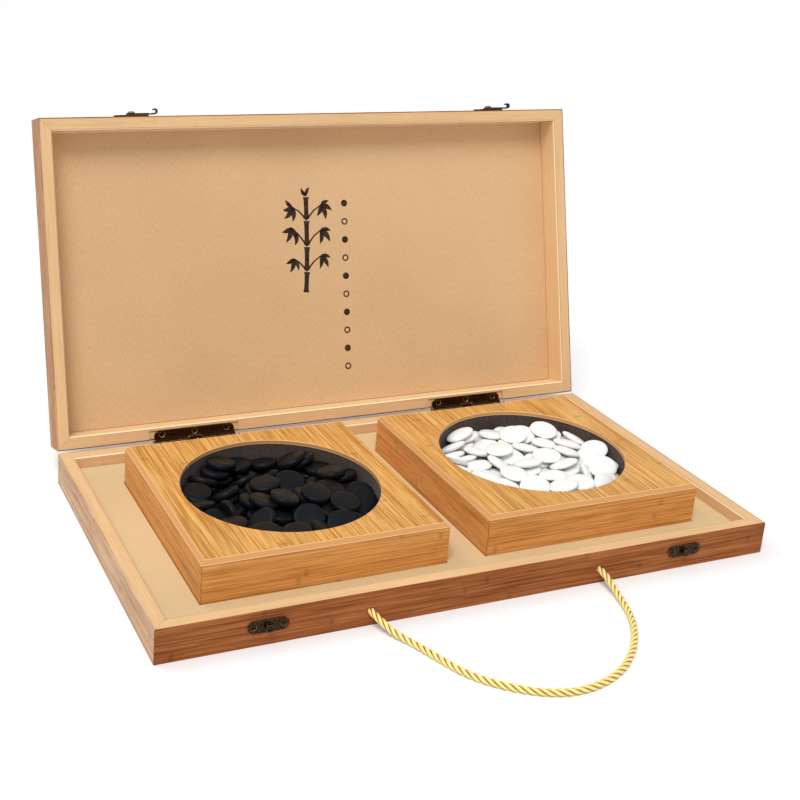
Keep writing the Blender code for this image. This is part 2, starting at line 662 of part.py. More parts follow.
def make_rope():
    """The rope between its two knots behind the front wall, lying in a loose loop before the case."""
    curve = bpy.data.curves.new("rope_handle", "CURVE")
    curve.dimensions = "3D"
    curve.bevel_depth = ROPE_RADIUS
    curve.bevel_resolution = 2
    curve.use_fill_caps = True
    curve.materials.append(GOLD_ROPE)
    route = smooth_route(ROPE_ROUTE, ROPE_STEP)
    spline = curve.splines.new("POLY")
    spline.points.add(len(route) - 1)
    for point, place_of in zip(spline.points, route):
        point.co = (*place_of, 1)
    rope = bpy.data.objects.new("rope_handle", curve)
    bpy.context.scene.collection.objects.link(rope)
    behind = -CASE_DEPTH / 2 + TRAY_RIM + GAP + KNOT_RADIUS
    for name, x in (("left", -ROPE_X), ("right", ROPE_X)):
        bm = bmesh.new()
        bmesh.ops.create_icosphere(bm, subdivisions=2, radius=KNOT_RADIUS)
        finish(f"rope_knot_{name}", bm, GOLD_ROPE, None, (x, behind, KNOT_Z), smooth=True)


# ---------------------------------------------------------------- the whole object

make_tray()
lid_axis = empty("lid_hinge_axis", None, (0, AXIS_Y, AXIS_Z), (-LID_OPENING, 0, 0))
make_lid(lid_axis)
for side_name, side_sign in (("left", -1), ("right", 1)):
    make_hinge(f"hinge_{side_name}", side_sign * HINGE_X, lid_axis)
    make_latch(f"latch_{side_name}", side_sign * LATCH_X, lid_axis)
black_bowl = make_bowl("black_bowl", -BOWL_X)
white_bowl = make_bowl("white_bowl", BOWL_X)
make_stones("black_stones", black_bowl, BLACK_STONE, 22, 29 * MM, 31 * MM, 0, 37 * MM, 3)
make_stones("white_stones", white_bowl, WHITE_STONE, 22, 31 * MM, 40 * MM, 34 * MM, 45 * MM, 7)
make_rope()
bpy.context.view_layer.update()
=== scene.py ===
import json
import math
import random

import bmesh
import bpy
from mathutils import Matrix, Vector


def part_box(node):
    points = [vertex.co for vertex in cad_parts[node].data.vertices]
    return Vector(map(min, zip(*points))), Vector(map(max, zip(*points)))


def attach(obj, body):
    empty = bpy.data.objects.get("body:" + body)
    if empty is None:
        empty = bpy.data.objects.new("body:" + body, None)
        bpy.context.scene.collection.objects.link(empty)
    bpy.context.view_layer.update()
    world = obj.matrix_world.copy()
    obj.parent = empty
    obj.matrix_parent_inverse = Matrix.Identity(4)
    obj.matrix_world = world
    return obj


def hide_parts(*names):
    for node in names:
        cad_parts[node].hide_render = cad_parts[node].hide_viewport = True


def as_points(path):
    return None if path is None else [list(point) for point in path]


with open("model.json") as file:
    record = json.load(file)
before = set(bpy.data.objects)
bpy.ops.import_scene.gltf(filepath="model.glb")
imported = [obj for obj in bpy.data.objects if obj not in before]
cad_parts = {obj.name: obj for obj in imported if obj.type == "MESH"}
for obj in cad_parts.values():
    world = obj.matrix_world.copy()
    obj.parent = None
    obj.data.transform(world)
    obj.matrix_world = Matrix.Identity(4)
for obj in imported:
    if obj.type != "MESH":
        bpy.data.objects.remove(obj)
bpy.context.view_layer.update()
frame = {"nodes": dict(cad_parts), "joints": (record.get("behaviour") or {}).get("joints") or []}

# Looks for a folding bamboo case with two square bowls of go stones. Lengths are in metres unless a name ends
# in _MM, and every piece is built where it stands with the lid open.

MM = 0.001

nodes = frame["nodes"]
lid_joint = next(j for j in frame["joints"] if j["name"] == "lid_hinge")
LID_AXIS = Vector(lid_joint["pos_m"])
LID_OPENING = math.radians(-min(lid_joint["range_deg"]))

CASE_HALF_LENGTH_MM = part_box("tray_front_wall")[1].x / MM
CASE_HALF_DEPTH_MM = -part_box("tray_front_wall")[0].y / MM
TRAY_TOP_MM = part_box("tray_left_wall")[1].z / MM
TRAY_RIM_MM = (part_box("tray_left_wall")[1].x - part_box("tray_left_wall")[0].x) / MM
LID_RIM_MM = (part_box("lid_left_wall")[1].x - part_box("lid_left_wall")[0].x) / MM
LID_BASE_MM = TRAY_TOP_MM + 0.3
LID_DEPTH_MM = 24.5


def srgb(red, green, blue):
    """A colour from display values of 0 to 255."""
    def linear(value):
        value /= 255
        return value / 12.92 if value <= 0.04045 else ((value + 0.055) / 1.055) ** 2.4
    return (linear(red), linear(green), linear(blue), 1)


def from_closed(point):
    """A point of the closed lid, moved to where it is with the lid open."""
    return Matrix.Rotation(-LID_OPENING, 3, "X") @ (Vector(point) - LID_AXIS) + LID_AXIS


# ---------------------------------------------------------------- camera, light and floor

CAMERA_PLACE = (-0.4460, -0.7922, 0.4730)
CAMERA_AZIMUTH, CAMERA_ELEVATION, CAMERA_ROLL = -24.6622, 18.1228, 3.8572
CAMERA_LENS = 59.6813
CAMERA_SHIFT = (0.10, -0.1375)


def make_camera():
    azimuth, elevation, roll = map(math.radians, (CAMERA_AZIMUTH, CAMERA_ELEVATION, CAMERA_ROLL))
    level = math.cos(elevation)
    back = Vector((math.sin(azimuth) * level, -math.cos(azimuth) * level, math.sin(elevation)))
    right = (-back).cross(Vector((0, 0, 1))).normalized()
    up = back.cross(right)
    turned_right = right * math.cos(roll) + up * math.sin(roll)
    turned_up = up * math.cos(roll) - right * math.sin(roll)
    data = bpy.data.cameras.new("camera")
    data.lens = CAMERA_LENS
    data.sensor_width = 36
    data.shift_x, data.shift_y = CAMERA_SHIFT
    data.clip_start, data.clip_end = 0.01, 100
    made = bpy.data.objects.new("camera", data)
    bpy.context.scene.collection.objects.link(made)
    columns = Matrix((turned_right, turned_up, back)).transposed()
    made.matrix_world = Matrix.Translation(CAMERA_PLACE) @ columns.to_4x4()
    bpy.context.scene.camera = made


make_camera()


# ---------------------------------------------------------------- mesh helpers

def new_object(name, mesh, look=None, body=None):
    made = bpy.data.objects.new(name, mesh)
    bpy.context.scene.collection.objects.link(made)
    if look:
        mesh.materials.append(look)
    if body:
        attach(made, body)
    return made


def mesh_of(name, points, faces, smooth=True):
    mesh = bpy.data.meshes.new(name)
    mesh.from_pydata(points, [], faces)
    mesh.validate()
    if smooth:
        mesh.shade_smooth()
    return mesh


# ---------------------------------------------------------------- rope

ROPE_LAY = 17 * MM  # one full turn of its strands
ROPE_STRANDS = 3
STRAND_SIDES = 12
STRAND_OFFSET = 1.14 * MM
STRAND_RADIUS = 1.26 * MM
# The rope's route from its left hole to its right one, in millimetres.
ROPE_ROUTE_MM = (
    (-89, -117, 10.5), (-89, -128, 10.5), (-86.5, -136.5, 8.4), (-81, -146, 4.4), (-75, -155.5, 2.7),
    (-70, -167, 2.6), (-64.5, -181, 2.6), (-58.5, -195, 2.6), (-49, -208.5, 2.6), (-36.5, -220, 2.6),
    (-22, -229.5, 2.6), (-7, -234.5, 2.6), (9, -235, 2.6), (26, -231, 2.6), (42, -223, 2.6),
    (57, -211, 2.6), (69.5, -197, 2.6), (79, -182, 2.6), (85, -168, 2.7), (88, -156, 3.4),
    (89.3, -146, 5.6), (89.5, -137, 8.6), (89, -128, 10.5), (89, -117, 10.5),
)


def smooth_route(points, step):
    """Evenly spaced points of one smooth curve that passes through every given point."""
    knots = [Vector(p) * MM for p in points]
    knots = [2 * knots[0] - knots[1], *knots, 2 * knots[-1] - knots[-2]]
    fine = []
    for before, start, end, after in zip(knots, knots[1:], knots[2:], knots[3:]):
        for n in range(20):
            t = n / 20
            fine.append(
                0.5 * (2 * start + (end - before) * t + (2 * before - 5 * start + 4 * end - after) * t * t
                       + (3 * start - before - 3 * end + after) * t * t * t)
            )
    fine.append(knots[-2])
    along = [0.0]
    for a, b in zip(fine, fine[1:]):
        along.append(along[-1] + (b - a).length)
    count = round(along[-1] / step)
    spaced, n = [], 0
    for k in range(count + 1):
        want = along[-1] * k / count
        while n < len(along) - 2 and along[n + 1] < want:
            n += 1
        share = (want - along[n]) / (along[n + 1] - along[n])
        spaced.append(fine[n].lerp(fine[n + 1], share))
    return spaced, along[-1]


def twisted_rope(name, route, length):
    """A mesh of strands laid round each other along a route. Its UV map holds each point's place round its
    strand, with 0 facing out of the rope, and its place along the rope in millimetres."""
    step = length / (len(route) - 1)
    tangents = [(b - a).normalized() for a, b in zip([route[0], *route[:-1]], [*route[1:], route[-1]])]
    across = tangents[0].cross(Vector((0, 0, 1))).normalized()
    frames = []
    for tangent in tangents:
        across = (across - tangent * across.dot(tangent)).normalized()
        frames.append((across, tangent.cross(across)))
    points, faces, marks = [], [], []
    around = STRAND_SIDES
    for strand in range(ROPE_STRANDS):
        first = len(points)
        for n, (centre, (side, up)) in enumerate(zip(route, frames)):
            turn = 2 * math.pi * (n * step / ROPE_LAY + strand / ROPE_STRANDS)
            out = side * math.cos(turn) + up * math.sin(turn)
            over = up * math.cos(turn) - side * math.sin(turn)
            middle = centre + out * STRAND_OFFSET
            for k in range(around):
                angle = 2 * math.pi * k / around
                points.append(middle + (out * math.cos(angle) + over * math.sin(angle)) * STRAND_RADIUS)
        for n in range(len(route) - 1):
            for k in range(around):
                here, there = first + n * around, first + (n + 1) * around
                after = (k + 1) % around
                faces.append((here + k, here + after, there + after, there + k))
                low, high = n * step / MM, (n + 1) * step / MM
                left, right = k / around, (k + 1) / around
                marks += [(left, low), (right, low), (right, high), (left, high)]
        for n, order in ((0, -1), (len(route) - 1, 1)):
            faces.append([first + n * around + k for k in range(around)][::order])
            marks += [(0.5, 0.0)] * around
    mesh = bpy.data.meshes.new(name)
    mesh.from_pydata(points, [], faces)
    lay = mesh.uv_layers.new(name="lay")
    for corner, mark in zip(lay.data, marks):
        corner.uv = mark
    mesh.shade_smooth()
    return mesh


rope_route, ROPE_LENGTH = smooth_route(ROPE_ROUTE_MM, 0.9 * MM)
rope_mesh = twisted_rope("rope_handle_strands", rope_route, ROPE_LENGTH)
rope = new_object("rope_handle_strands", rope_mesh, None, "tray")
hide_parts("rope_handle")
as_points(rope_route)


# ---------------------------------------------------------------- floor and light

FLOOR_HALF = 8
FLOOR_Z = -0.1 * MM  # a hair below the case


def make_stage():
    corners = [(x * FLOOR_HALF, y * FLOOR_HALF, FLOOR_Z) for x, y in ((-1, -1), (1, -1), (1, 1), (-1, 1))]
    floor = new_object("floor", mesh_of("floor", corners, [(0, 1, 2, 3)], smooth=False))
    look = bpy.data.materials.new("floor")
    look.use_nodes = True
    shader = look.node_tree.nodes["Principled BSDF"]
    shader.inputs["Base Color"].default_value = (0.93, 0.93, 0.93, 1)
    shader.inputs["Roughness"].default_value = 0.9
    shader.inputs["Specular IOR Level"].default_value = 0.1
    floor.data.materials.append(look)


WORLD_STRENGTH = 0.53
SUN_STRENGTH = 2.05
SUN_FROM = (-0.38, -0.50, 1.0)
SUN_ANGLE = 28
BOX_STRENGTH = 2.2
BOX_SIZE = (0.7, 0.5)
BOX_PLACE = (-0.55, 0.35, 0.95)
BOX_AIM = (0, -0.02, 0.04)


def make_light():
    world = bpy.data.worlds.new("studio")
    world.use_nodes = True
    background = world.node_tree.nodes["Background"]
    background.inputs["Color"].default_value = (1, 1, 1, 1)
    background.inputs["Strength"].default_value = WORLD_STRENGTH
    bpy.context.scene.world = world
    sun = bpy.data.lights.new("sun", "SUN")
    sun.energy = SUN_STRENGTH
    sun.angle = math.radians(SUN_ANGLE)
    made = bpy.data.objects.new("sun", sun)
    made.rotation_euler = Vector(SUN_FROM).to_track_quat("Z", "Y").to_euler()
    bpy.context.scene.collection.objects.link(made)
    box = bpy.data.lights.new("soft_box", "AREA")
    box.shape = "RECTANGLE"
    box.size, box.size_y = BOX_SIZE
    box.energy = BOX_STRENGTH
    made = bpy.data.objects.new("soft_box", box)
    made.location = BOX_PLACE
    made.rotation_euler = (Vector(BOX_PLACE) - Vector(BOX_AIM)).to_track_quat("Z", "Y").to_euler()
    bpy.context.scene.collection.objects.link(made)
    view = bpy.context.scene.view_settings
    view.view_transform = "Standard"
    view.look = "None"


make_stage()
make_light()


# ---------------------------------------------------------------- material helpers

class Look:
    """A node material in the making. Positions inside it are in millimetres."""

    def __init__(self, name):
        self.material = bpy.data.materials.new(name)
        self.material.use_nodes = True
        self.tree = self.material.node_tree
        self.shader = self.tree.nodes["Principled BSDF"]

    def feed(self, socket, value):
        if isinstance(value, bpy.types.NodeSocket):
            self.tree.links.new(value, socket)
        else:
            socket.default_value = value

    def node(self, kind, inputs, output=0, **settings):
        made = self.tree.nodes.new("ShaderNode" + kind)
        for key, value in settings.items():
            setattr(made, key, value)
        for key, value in inputs.items():
            self.feed(made.inputs[key], value)
        return made.outputs[output]

    def maths(self, operation, *values):
        return self.node("Math", dict(enumerate(values)), operation=operation)

    def times(self, value, factor):
        return self.maths("MULTIPLY", value, factor)

    def vector(self, x, y, z):
        return self.node("CombineXYZ", {0: x, 1: y, 2: z})

    def place(self, lid=False):
        """The point's X, Y and Z in millimetres, on the lid as if it were closed."""
        spot = self.node("TexCoord", {}, output="Object")
        if lid:
            turned = {"Vector": spot, "Center": LID_AXIS, "Angle": LID_OPENING}
            spot = self.node("VectorRotate", turned, rotation_type="X_AXIS")
        spot = self.node("VectorMath", {0: spot, "Scale": 1000.0}, operation="SCALE")
        made = self.tree.nodes.new("ShaderNodeSeparateXYZ")
        self.feed(made.inputs[0], spot)
        return made.outputs[0], made.outputs[1], made.outputs[2]

    def noise(self, vector, scale=1.0, detail=3.0, roughness=0.5, distortion=0.0):
        return self.node("TexNoise", {
            "Vector": vector, "Scale": scale, "Detail": detail, "Roughness": roughness,
            "Distortion": distortion,
        })

    def smooth(self, value, low, high, start=0.0, end=1.0):
        """value taken smoothly from low..high to start..end."""
        return self.node(
            "MapRange", {"Value": value, 1: low, 2: high, 3: start, 4: end}, interpolation_type="SMOOTHSTEP"
        )

    def mix(self, factor, first, second):
        made = self.tree.nodes.new("ShaderNodeMix")
        made.data_type = "RGBA"
        for key, value in ((0, factor), (6, first), (7, second)):
            self.feed(made.inputs[key], value)
        return made.outputs[2]

    def shade(self, colour, factor):
        """colour times a number."""
        grey = self.vector(factor, factor, factor)
        return self.node("VectorMath", {0: colour, 1: grey}, operation="MULTIPLY")

    def ramp(self, factor, *stops):
        made = self.tree.nodes.new("ShaderNodeValToRGB")
        elements = made.color_ramp.elements
        while len(elements) < len(stops):
            elements.new(1.0)
        for element, (position, colour) in zip(elements, stops):
            element.position, element.color = position, colour
        self.feed(made.inputs[0], factor)
        return made.outputs[0]

    def bump(self, height, distance, strength):
        self.feed(self.shader.inputs["Normal"], self.node(
            "Bump", {"Height": height, "Distance": distance, "Strength": strength}
        ))

    def done(self, colour, roughness, **fixed):
        self.feed(self.shader.inputs["Base Color"], colour)
        self.feed(self.shader.inputs["Roughness"], roughness)
        for key, value in fixed.items():
            self.shader.inputs[key.replace("_", " ")].default_value = value
        return self.material


# ---------------------------------------------------------------- bamboo

KNOT_PERIOD = 240.0  # millimetres from knot to knot along a strip
GRAIN_RELIEF = 0.05 * MM


class Bamboo(Look):
    """Glued bamboo strips that run along X or Y."""

    def grain(self, along, lid, strip, seed, fineness=1.0):
        """Sets the streak, dash, knot and strip-tone signals for a board."""
        x, y, z = self.place(lid)
        self.x, self.y, self.z = x, y, z
        run, over = (x, y) if along == "X" else (y, x)
        run = self.maths("ADD", run, seed * 97.0)
        over = self.maths("ADD", self.maths("ADD", over, z), seed * 13.0)
        which = self.maths("FLOOR", self.maths("DIVIDE", over, strip))
        self.chance = self.node("TexWhiteNoise", {"W": which}, noise_dimensions="1D")
        other = self.node("TexWhiteNoise", {"W": self.maths("ADD", which, 31.7)}, noise_dimensions="1D")
        self.tone = self.maths("SUBTRACT", other, 0.5)
        # Knots: once in each strip's period, at a place of its own.
        phase = self.maths("FRACT", self.maths("ADD", self.maths("DIVIDE", run, KNOT_PERIOD), self.chance))
        distance = self.times(self.maths("ABSOLUTE", self.maths("SUBTRACT", phase, 0.5)), KNOT_PERIOD)
        ragged = self.noise(self.vector(self.times(run, 0.35), self.times(over, 1.1), 3.0))
        distance = self.maths("ADD", distance, self.times(self.maths("SUBTRACT", ragged, 0.5), 5.0))
        self.knot = self.smooth(distance, 0.2, 2.6, 1.0, 0.0)
        # Fibres bend a little as they pass a knot.
        near = self.smooth(distance, 0.0, 9.0, 1.0, 0.0)
        bent = self.maths("ADD", over, self.maths("MULTIPLY", near, self.maths("SUBTRACT", ragged, 0.5)))
        shift = self.maths("MULTIPLY", self.chance, 61.0)
        long = self.vector(self.times(run, 0.015), self.times(bent, 0.55 * fineness), shift)
        self.streak = self.noise(long, detail=5.0, roughness=0.62)
        fine = self.vector(self.times(run, 0.040), self.times(bent, 1.1 * fineness), shift)
        self.fibre = self.noise(fine, detail=2.0, roughness=0.5)
        cloud = self.vector(self.times(run, 0.012), self.times(over, 0.03), seed * 1.0)
        self.cloud = self.noise(cloud, detail=2.0)
        seam = self.maths("ABSOLUTE", self.maths(
            "SUBTRACT", self.maths("FRACT", self.maths("DIVIDE", over, strip)), 0.5))
        self.seam = self.smooth(seam, 0.47, 0.5)

    def timber(self, light, middle, dark, contrast=1.0, knots=1.0):
        """The board's colour from its signals."""
        spread, variety = 0.16 / contrast, min(contrast, 1.1)
        colour = self.ramp(self.streak, (0.5 - spread, dark), (0.5, middle), (0.5 + spread, light))
        dashes = self.smooth(self.fibre, 0.34, 0.46, 0.78 if contrast >= 1 else 0.92, 1.0)
        colour = self.shade(colour, dashes)
        tone = self.maths("ADD", self.maths("MULTIPLY", self.tone, 0.10 * variety), 1.0)
        cloud = self.maths("ADD", self.maths("MULTIPLY", self.maths("SUBTRACT", self.cloud, 0.5), 0.22), 1.0)
        colour = self.shade(colour, self.maths("MULTIPLY", tone, cloud))
        knot = self.maths("SUBTRACT", 1.0, self.maths("MULTIPLY", self.knot, 0.24 * knots))
        seam = self.maths("SUBTRACT", 1.0, self.maths("MULTIPLY", self.seam, 0.10 * variety))
        return self.shade(colour, self.maths("MULTIPLY", knot, seam))

    def finish(self, colour, gloss, shine=0.22):
        height = self.maths("ADD", self.fibre, self.maths("MULTIPLY", self.knot, 0.8))
        self.bump(height, GRAIN_RELIEF, 0.6)
        roughness = self.smooth(self.fibre, 0.3, 0.7, gloss + 0.10, gloss - 0.04)
        return self.done(colour, roughness, Specular_IOR_Level=shine)


PALE = srgb(229, 191, 145), srgb(221, 182, 135), srgb(207, 164, 117)
BROWN = srgb(172, 109, 65), srgb(151, 89, 49), srgb(122, 68, 36)
FADED_BROWN = srgb(212, 180, 148), srgb(196, 160, 128), srgb(170, 131, 100)
MUTED_BROWN = srgb(198, 154, 118), srgb(178, 134, 98), srgb(150, 106, 74)
HONEY = srgb(226, 176, 104), srgb(212, 156, 82), srgb(182, 119, 50)
HONEY_WALL = srgb(225, 163, 96), srgb(212, 148, 78), srgb(184, 116, 52)
# The first is painted near white on the inner rim bevels as a painted highlight; the second is the lid walls'
# inner faces.
LIP_HIGHLIGHT, LEDGE = srgb(252, 230, 192), srgb(238, 203, 156)
PINK_PLY, LIGHT_PLY = srgb(205, 149, 94), srgb(228, 184, 130)
BEVEL_MM = 1.25


def case_bamboo(name, along, lid, seed, outer=BROWN):
    """A case wall: carbonised outside, pale on rim and inside, painted highlight on the inner rim bevel."""
    look = Bamboo(name)
    look.grain(along, lid, 5.2, seed)
    from_side = look.maths("SUBTRACT", look.maths("ABSOLUTE", look.x), CASE_HALF_LENGTH_MM)
    from_front = look.maths("SUBTRACT", look.maths("ABSOLUTE", look.y), CASE_HALF_DEPTH_MM)
    depth = look.maths("MAXIMUM", from_side, from_front)  # negative inside the case's outer faces
    if lid:
        height = look.maths("SUBTRACT", look.z, LID_BASE_MM)
    else:
        height = look.maths("SUBTRACT", TRAY_TOP_MM, look.z)
    outside = look.smooth(depth, -0.90, -0.75)
    flat = look.smooth(height, 23.8, 24.0)  # the lid's outer face and the tray's underside
    pale = look.timber(*PALE, contrast=0.35, knots=0.25)
    brown = look.timber(*outer, contrast=1.1)
    rim = LID_RIM_MM if lid else TRAY_RIM_MM
    inner = look.smooth(depth, 0.6 * BEVEL_MM - rim, 0.6 * BEVEL_MM - rim - 0.15)
    above = look.smooth(height, BEVEL_MM, BEVEL_MM - 0.15)
    # Painted shade line: a narrow band of the rim next to its inner bevel is darkened.
    shade_line_band = look.maths("ABSOLUTE", look.maths("ADD", depth, rim - 0.6 * BEVEL_MM - 0.25))
    pale = look.shade(pale, look.smooth(shade_line_band, 0.15, 0.30, 0.74, 1.0))
    # The inner rim bevel is painted near white, a painted highlight along it.
    lip_highlight = look.shade(LIP_HIGHLIGHT[:3], look.smooth(look.fibre, 0.3, 0.7, 0.96, 1.02))
    pale = look.mix(look.maths("MULTIPLY", inner, above), pale, lip_highlight)
    if lid:
        below = look.maths("MULTIPLY", inner, look.maths("SUBTRACT", 1.0, above))
        ledge = look.shade(LEDGE[:3], look.smooth(look.streak, 0.3, 0.7, 0.95, 1.03))
        pale = look.mix(look.maths("MULTIPLY", below, 0.8), pale, ledge)
    colour = look.mix(flat, look.mix(outside, pale, brown), look.timber(*BROWN, contrast=1.1))
    return look.finish(colour, gloss=0.52, shine=0.03)


def plain_bamboo(name, along, lid, seed, tones, contrast=0.6, strip=9.0):
    look = Bamboo(name)
    look.grain(along, lid, strip, seed)
    return look.finish(look.timber(*tones, contrast=contrast), gloss=0.45, shine=0.15)


def honey_bamboo(name, along, seed, panel=False):
    """A bowl's board. A top panel shows its layers on its chamfer and round its opening."""
    look = Bamboo(name)
    look.grain(along, False, 6.4 if panel else 5.6, seed, fineness=1.75 if panel else 1.3)
    colour = look.timber(*(HONEY if panel else HONEY_WALL), contrast=1.9 if panel else 1.1)
    if panel:
        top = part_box("black_bowl_top_panel")[1].z / MM
        below = look.maths("SUBTRACT", top, look.z)
        layers = look.ramp(
            look.maths("DIVIDE", below, 3.3),
            (0.0, LIGHT_PLY), (0.09, LIGHT_PLY), (0.17, PINK_PLY), (0.78, PINK_PLY), (0.86, LIGHT_PLY),
            (0.94, LIGHT_PLY), (1.0, PINK_PLY),
        )
        layers = look.shade(layers, look.smooth(look.fibre, 0.3, 0.7, 0.93, 1.03))
        colour = look.mix(look.smooth(below, 0.04, 0.16), colour, layers)
    return look.finish(colour, gloss=0.38)


# ---------------------------------------------------------------- cloth, felt, metal, stone

def velour(name):
    look = Look(name)
    x, y, z = look.place()
    spot = look.vector(x, y, z)
    nap = look.noise(spot, 2.4, 4.0, 0.7)
    broad = look.noise(spot, 0.012, 3.0, 0.5)
    colour = look.ramp(nap, (0.32, srgb(205, 176, 131)), (0.68, srgb(218, 191, 148)))
    colour = look.shade(colour, look.smooth(broad, 0.3, 0.7, 0.96, 1.04))
    look.bump(nap, 0.12 * MM, 0.5)
    return look.done(
        colour, look.smooth(nap, 0.3, 0.7, 0.80, 0.95), Sheen_Weight=0.35, Sheen_Roughness=0.4,
        Specular_IOR_Level=0.15,
    )


def silk(name):
    """The lid's lining, woven with its heavier threads up and down the open lid."""
    look = Look(name)
    x, y, z = look.place(lid=True)
    warp = look.noise(look.vector(look.times(x, 1.5), look.times(y, 0.28), 0.0), 1.0, 2.0)
    weft = look.noise(look.vector(look.times(x, 0.4), look.times(y, 1.9), 7.0), 1.0, 2.0)
    broad = look.noise(look.vector(x, y, z), 0.009, 3.0, 0.5)
    threads = look.maths("ADD", look.maths("MULTIPLY", warp, 0.68), look.maths("MULTIPLY", weft, 0.32))
    colour = look.ramp(threads, (0.34, srgb(203, 165, 121)), (0.66, srgb(218, 181, 137)))
    colour = look.shade(colour, look.smooth(broad, 0.3, 0.7, 0.96, 1.04))
    look.bump(threads, 0.05 * MM, 0.5)
    return look.done(
        colour, look.smooth(threads, 0.3, 0.7, 0.66, 0.78), Sheen_Weight=0.12, Sheen_Roughness=0.35,
        Specular_IOR_Level=0.18,
    )


def felt(name):
    look = Look(name)
    x, y, z = look.place()
    spot = look.vector(x, y, z)
    fibres = look.noise(spot, 0.9, 6.0, 0.75, 0.8)
    broad = look.noise(spot, 0.05, 2.0)
    colour = look.ramp(fibres, (0.30, srgb(46, 38, 35)), (0.52, srgb(76, 65, 60)), (0.75, srgb(114, 101, 94)))
    colour = look.shade(colour, look.smooth(broad, 0.3, 0.7, 0.88, 1.12))
    look.bump(fibres, 0.25 * MM, 0.8)
    return look.done(
        colour, look.smooth(fibres, 0.3, 0.7, 0.85, 0.98), Sheen_Weight=0.12, Sheen_Roughness=0.5,
        Specular_IOR_Level=0.08,
    )


def bronze(name, worn_and_highlit=False):
    """Browned brass, or with bright bared metal in patches, both wear and a painted highlight on its edges.
    """
    look = Look(name)
    x, y, z = look.place()
    spot = look.vector(x, y, z)
    patches = look.noise(spot, 0.55, 4.0, 0.6)
    grain = look.noise(spot, 4.0, 3.0, 0.6)
    colour = look.ramp(patches, (0.34, srgb(36, 23, 16)), (0.58, srgb(62, 42, 28)), (0.80, srgb(112, 80, 48)))
    if worn_and_highlit:
        # Bright bared metal in patches: wear, and a painted highlight along the eased edges that carry it.
        bright_wear_and_highlight = look.smooth(patches, 0.30, 0.44)
        colour = look.mix(bright_wear_and_highlight, srgb(128, 92, 52), srgb(250, 218, 150))
    colour = look.shade(colour, look.smooth(grain, 0.3, 0.7, 0.85, 1.12))
    look.bump(grain, 0.03 * MM, 0.5)
    return look.done(colour, look.smooth(patches, 0.3, 0.7, 0.42, 0.28), Metallic=0.9)


def black_slate(name):
    look = Look(name)
    x, y, z = look.place()
    spot = look.vector(x, y, z)
    speck = look.noise(spot, 3.2, 3.0, 0.7)
    broad = look.noise(spot, 0.12, 2.0)
    colour = look.ramp(speck, (0.35, srgb(12, 12, 14)), (0.75, srgb(25, 26, 29)))
    look.bump(speck, 0.006 * MM, 0.5)
    roughness = look.smooth(broad, 0.35, 0.65, 0.30, 0.44)
    return look.done(colour, roughness, Specular_IOR_Level=0.15, Specular_Tint=(0.70, 0.84, 1.0, 1.0))


def white_shell(name):
    look = Look(name)
    x, y, z = look.place()
    spot = look.vector(x, y, z)
    cloud = look.noise(spot, 0.16, 3.0, 0.6)
    speck = look.noise(spot, 2.6, 2.0, 0.6)
    colour = look.ramp(cloud, (0.32, srgb(238, 238, 235)), (0.68, srgb(248, 248, 247)))
    look.bump(speck, 0.01 * MM, 0.4)
    return look.done(
        colour, look.smooth(cloud, 0.3, 0.7, 0.30, 0.42), Subsurface_Weight=0.12,
        Subsurface_Radius=(0.002, 0.0018, 0.0016), Subsurface_Scale=1.0, Specular_IOR_Level=0.5,
    )


def gold_yarn(name, laid=True):
    """Shiny yarn. On the rope its fibres follow each strand, and the strands' inner sides get painted shade.
    """
    look = Look(name)
    if laid:
        marks = look.node("UVMap", {}, uv_map="lay")
        parts = look.tree.nodes.new("ShaderNodeSeparateXYZ")
        look.feed(parts.inputs[0], marks)
        around, along = parts.outputs[0], parts.outputs[1]
        angle = look.maths("MULTIPLY", around, 2 * math.pi)
        # A strand's side facing out of the rope gets a painted highlight, its side facing in painted shade.
        shade_to_highlight = look.smooth(look.maths("COSINE", angle), -0.5, 0.95)
        skew = look.maths("SUBTRACT", look.times(around, 9.0), look.times(along, 0.22))
        fibres = look.noise(look.vector(skew, look.maths("MULTIPLY", along, 0.10), around), 1.6, 3.0, 0.7)
    else:
        x, y, z = look.place()
        spot = look.vector(x, y, z)
        fibres = look.noise(look.vector(look.maths("MULTIPLY", x, 0.2), y, z), 2.4, 3.0, 0.7)
        # On the knot, patches of noise pick between the same painted shade and painted highlight.
        shade_to_highlight = look.smooth(look.noise(spot, 0.8, 2.0), 0.3, 0.6)
    # The ramp runs from painted shade, darkest between strands, to a painted highlight.
    colour = look.ramp(
        shade_to_highlight, (0.0, srgb(140, 74, 8)), (0.24, srgb(208, 140, 32)), (0.5, srgb(240, 200, 88)),
        (1.0, srgb(254, 238, 160)),
    )
    colour = look.shade(colour, look.smooth(fibres, 0.3, 0.7, 0.82, 1.08))
    look.bump(fibres, 0.12 * MM, 0.8)
    return look.done(
        colour, look.smooth(fibres, 0.3, 0.7, 0.45, 0.30), Sheen_Weight=0.3, Sheen_Roughness=0.3,
        Specular_IOR_Level=0.6,
    )


def ink(name):
    """Brush ink that is a little thin in places."""
    look = Look(name)
    x, y, z = look.place(lid=True)
    spot = look.vector(x, y, z)
    wash = look.noise(spot, 0.22, 4.0, 0.65)
    dry = look.noise(look.vector(look.times(x, 2.2), look.times(y, 0.5), 0.0), 1.0, 2.0)
    colour = look.ramp(look.maths("MULTIPLY", wash, look.smooth(dry, 0.2, 0.6, 0.8, 1.1)),
                       (0.40, srgb(36, 22, 18)), (0.72, srgb(74, 50, 40)))
    look.bump(dry, 0.02 * MM, 0.4)
    return look.done(colour, look.smooth(wash, 0.3, 0.7, 0.75, 0.6), Specular_IOR_Level=0.2)


# ---------------------------------------------------------------- CAD nodes: finishes and eased edges

